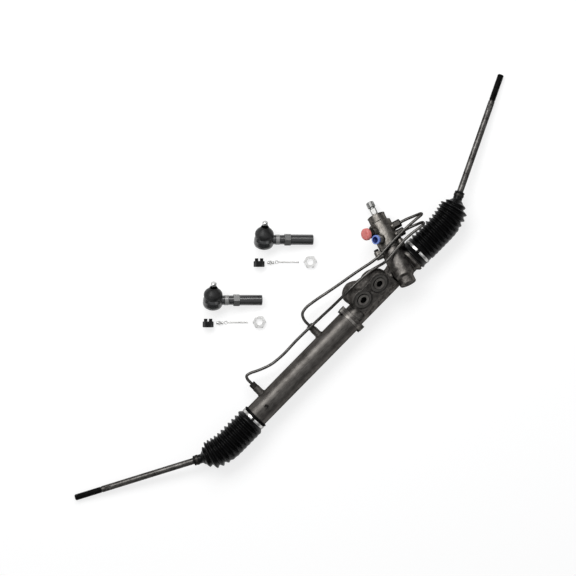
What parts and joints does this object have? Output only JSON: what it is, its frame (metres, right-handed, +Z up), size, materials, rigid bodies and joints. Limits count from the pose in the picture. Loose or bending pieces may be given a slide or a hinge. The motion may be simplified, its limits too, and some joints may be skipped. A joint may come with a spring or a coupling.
{
  "type": "steering rack",
  "caption": "Hydraulic rack-and-pinion steering gear with cylinder tube, valve tower, capped ports, bellows and threaded tie rods, its outer rod ends laid beside it.",
  "frame": {"origin": "on the rack's axis, at the middle of the cylinder tube's saddle seat", "axes": "+X along the rack towards the pinion end, +Y to the side of the input shaft, +Z up as it lies"},
  "size_m": [1.3319, 0.3308, 0.1023],
  "materials": {
    "housing_iron": "oiled dark casting",
    "tube_steel": "dark drawn steel",
    "tower_aluminium": "blasted casting",
    "bright_steel": "turned",
    "ground_steel": "ground and polished",
    "plated_steel": "zinc plated",
    "rod_steel": "as forged, wiped",
    "line_steel": "drawn tube",
    "black_forging": "black coated",
    "boot_rubber": "matt",
    "bush_rubber": "matt",
    "seal_rubber": "smooth",
    "slide_ring": "filled polymer",
    "seat_nylon": "moulded",
    "red_cap": "moulded soft plastic",
    "blue_cap": "moulded",
    "bush_bronze": "turned"
  },
  "bodies": {
    "housing": {"rack_housing": "housing_iron", "cylinder_tube": "tube_steel", "joint_flange": "tube_steel", "joint_bolts": "plated_steel", "end_bushing": "bush_bronze", "rod_seals": "seal_rubber", "bush_shells": "rod_steel", "bush_rubbers": "bush_rubber", "bush_sleeves": "plated_steel", "valve_housing": "tower_aluminium", "tower_bolts": "plated_steel", "top_seal": "seal_rubber", "seal_retainer": "rod_steel", "input_bearing": "bright_steel", "upper_pinion_bearing": "bright_steel", "lower_pinion_bearing": "bright_steel", "bottom_cap": "plated_steel", "yoke": "tower_aluminium", "yoke_springs": "rod_steel", "yoke_plug": "plated_steel", "yoke_lock_nut": "plated_steel", "return_fitting": "plated_steel", "pressure_fitting": "plated_steel", "near_transfer_tube": "line_steel", "far_transfer_tube": "line_steel", "line_nuts": "plated_steel", "left_bellows": "boot_rubber", "right_bellows": "boot_rubber", "large_clamps": "plated_steel", "upper_end_socket": "black_forging", "lower_end_socket": "black_forging", "upper_dust_boot": "boot_rubber", "lower_dust_boot": "boot_rubber", "end_covers": "black_forging", "castle_nuts": "black_forging", "cotter_pins": "plated_steel", "grease_fittings": "plated_steel", "jam_nuts": "plated_steel"},
    "rack": {"rack_bar": "ground_steel", "piston": "bright_steel", "piston_ring": "slide_ring", "left_ball_socket": "rod_steel", "right_ball_socket": "rod_steel"},
    "pinion_shaft": {"pinion": "bright_steel", "pinion_nut": "plated_steel", "valve_sleeve": "bright_steel", "sleeve_rings": "slide_ring", "torsion_bar": "bright_steel"},
    "steering_input": {"input_shaft": "bright_steel"},
    "left_seat": {"left_ball_seat": "seat_nylon"},
    "right_seat": {"right_ball_seat": "seat_nylon"},
    "left_rod": {"left_tie_rod": "rod_steel", "left_small_clamp": "plated_steel"},
    "right_rod": {"right_tie_rod": "rod_steel", "right_small_clamp": "plated_steel"},
    "red_plug": {"return_cap": "red_cap"},
    "blue_plug": {"pressure_cap": "blue_cap"},
    "upper_stud": {"upper_ball_stud": "bright_steel"},
    "lower_stud": {"lower_ball_stud": "bright_steel"}
  },
  "joints": [
    {"name": "rack_slide", "type": "slide", "parent": "housing", "child": "rack", "axis": [1, 0, 0], "range_m": [-0.07, 0.07], "deforming": ["left_bellows", "right_bellows"]},
    {"name": "pinion_spin", "type": "hinge", "parent": "housing", "child": "pinion_shaft", "pos_m": [0.3216, 0.00411, 0.01649], "axis": [0.342, 0.9118, -0.2273], "range_deg": [-503, 503]},
    {"name": "input_twist", "type": "hinge", "parent": "pinion_shaft", "child": "steering_input", "pos_m": [0.3216, 0.00411, 0.01649], "axis": [0.342, 0.9118, -0.2273], "range_deg": [-5, 5], "stiffness_Nm_per_rad": 55},
    {"name": "left_swing", "type": "hinge", "parent": "rack", "child": "left_seat", "pos_m": [-0.248, 0, 0], "axis": [0, 0, 1], "range_deg": [-2, 58]},
    {"name": "left_nod", "type": "hinge", "parent": "left_seat", "child": "left_rod", "pos_m": [-0.248, 0, 0], "axis": [0.4695, 0.8829, 0], "range_deg": [-10, 10]},
    {"name": "right_swing", "type": "hinge", "parent": "rack", "child": "right_seat", "pos_m": [0.478, 0, 0], "axis": [0, 0, 1], "range_deg": [-54.9, 5.1]},
    {"name": "right_nod", "type": "hinge", "parent": "right_seat", "child": "right_rod", "pos_m": [0.478, 0, 0], "axis": [0.421, -0.907, 0], "range_deg": [-10, 10]},
    {"name": "return_cap_pull", "type": "slide", "parent": "housing", "child": "red_plug", "axis": [-0.6288, 0.4018, 0.6657], "range_m": [0, 0.012]},
    {"name": "pressure_cap_pull", "type": "slide", "parent": "housing", "child": "blue_plug", "axis": [-0.4412, 0.3694, 0.8179], "range_m": [0, 0.012]},
    {"name": "upper_stud_tilt", "type": "hinge", "parent": "housing", "child": "upper_stud", "pos_m": [0.155, 0.2595, -0.01107], "axis": [0.6961, -0.7084, -0.1168], "range_deg": [-18, 18], "deforming": ["upper_dust_boot"]},
    {"name": "lower_stud_tilt", "type": "hinge", "parent": "housing", "child": "lower_stud", "pos_m": [-0.0192, 0.2463, -0.01107], "axis": [0.6961, -0.7084, -0.1168], "range_deg": [-18, 18], "deforming": ["lower_dust_boot"]}
  ],
  "couplings": [
    {"joint": "pinion_spin", "follows": "rack_slide", "rad_per_m": -125}
  ]
}
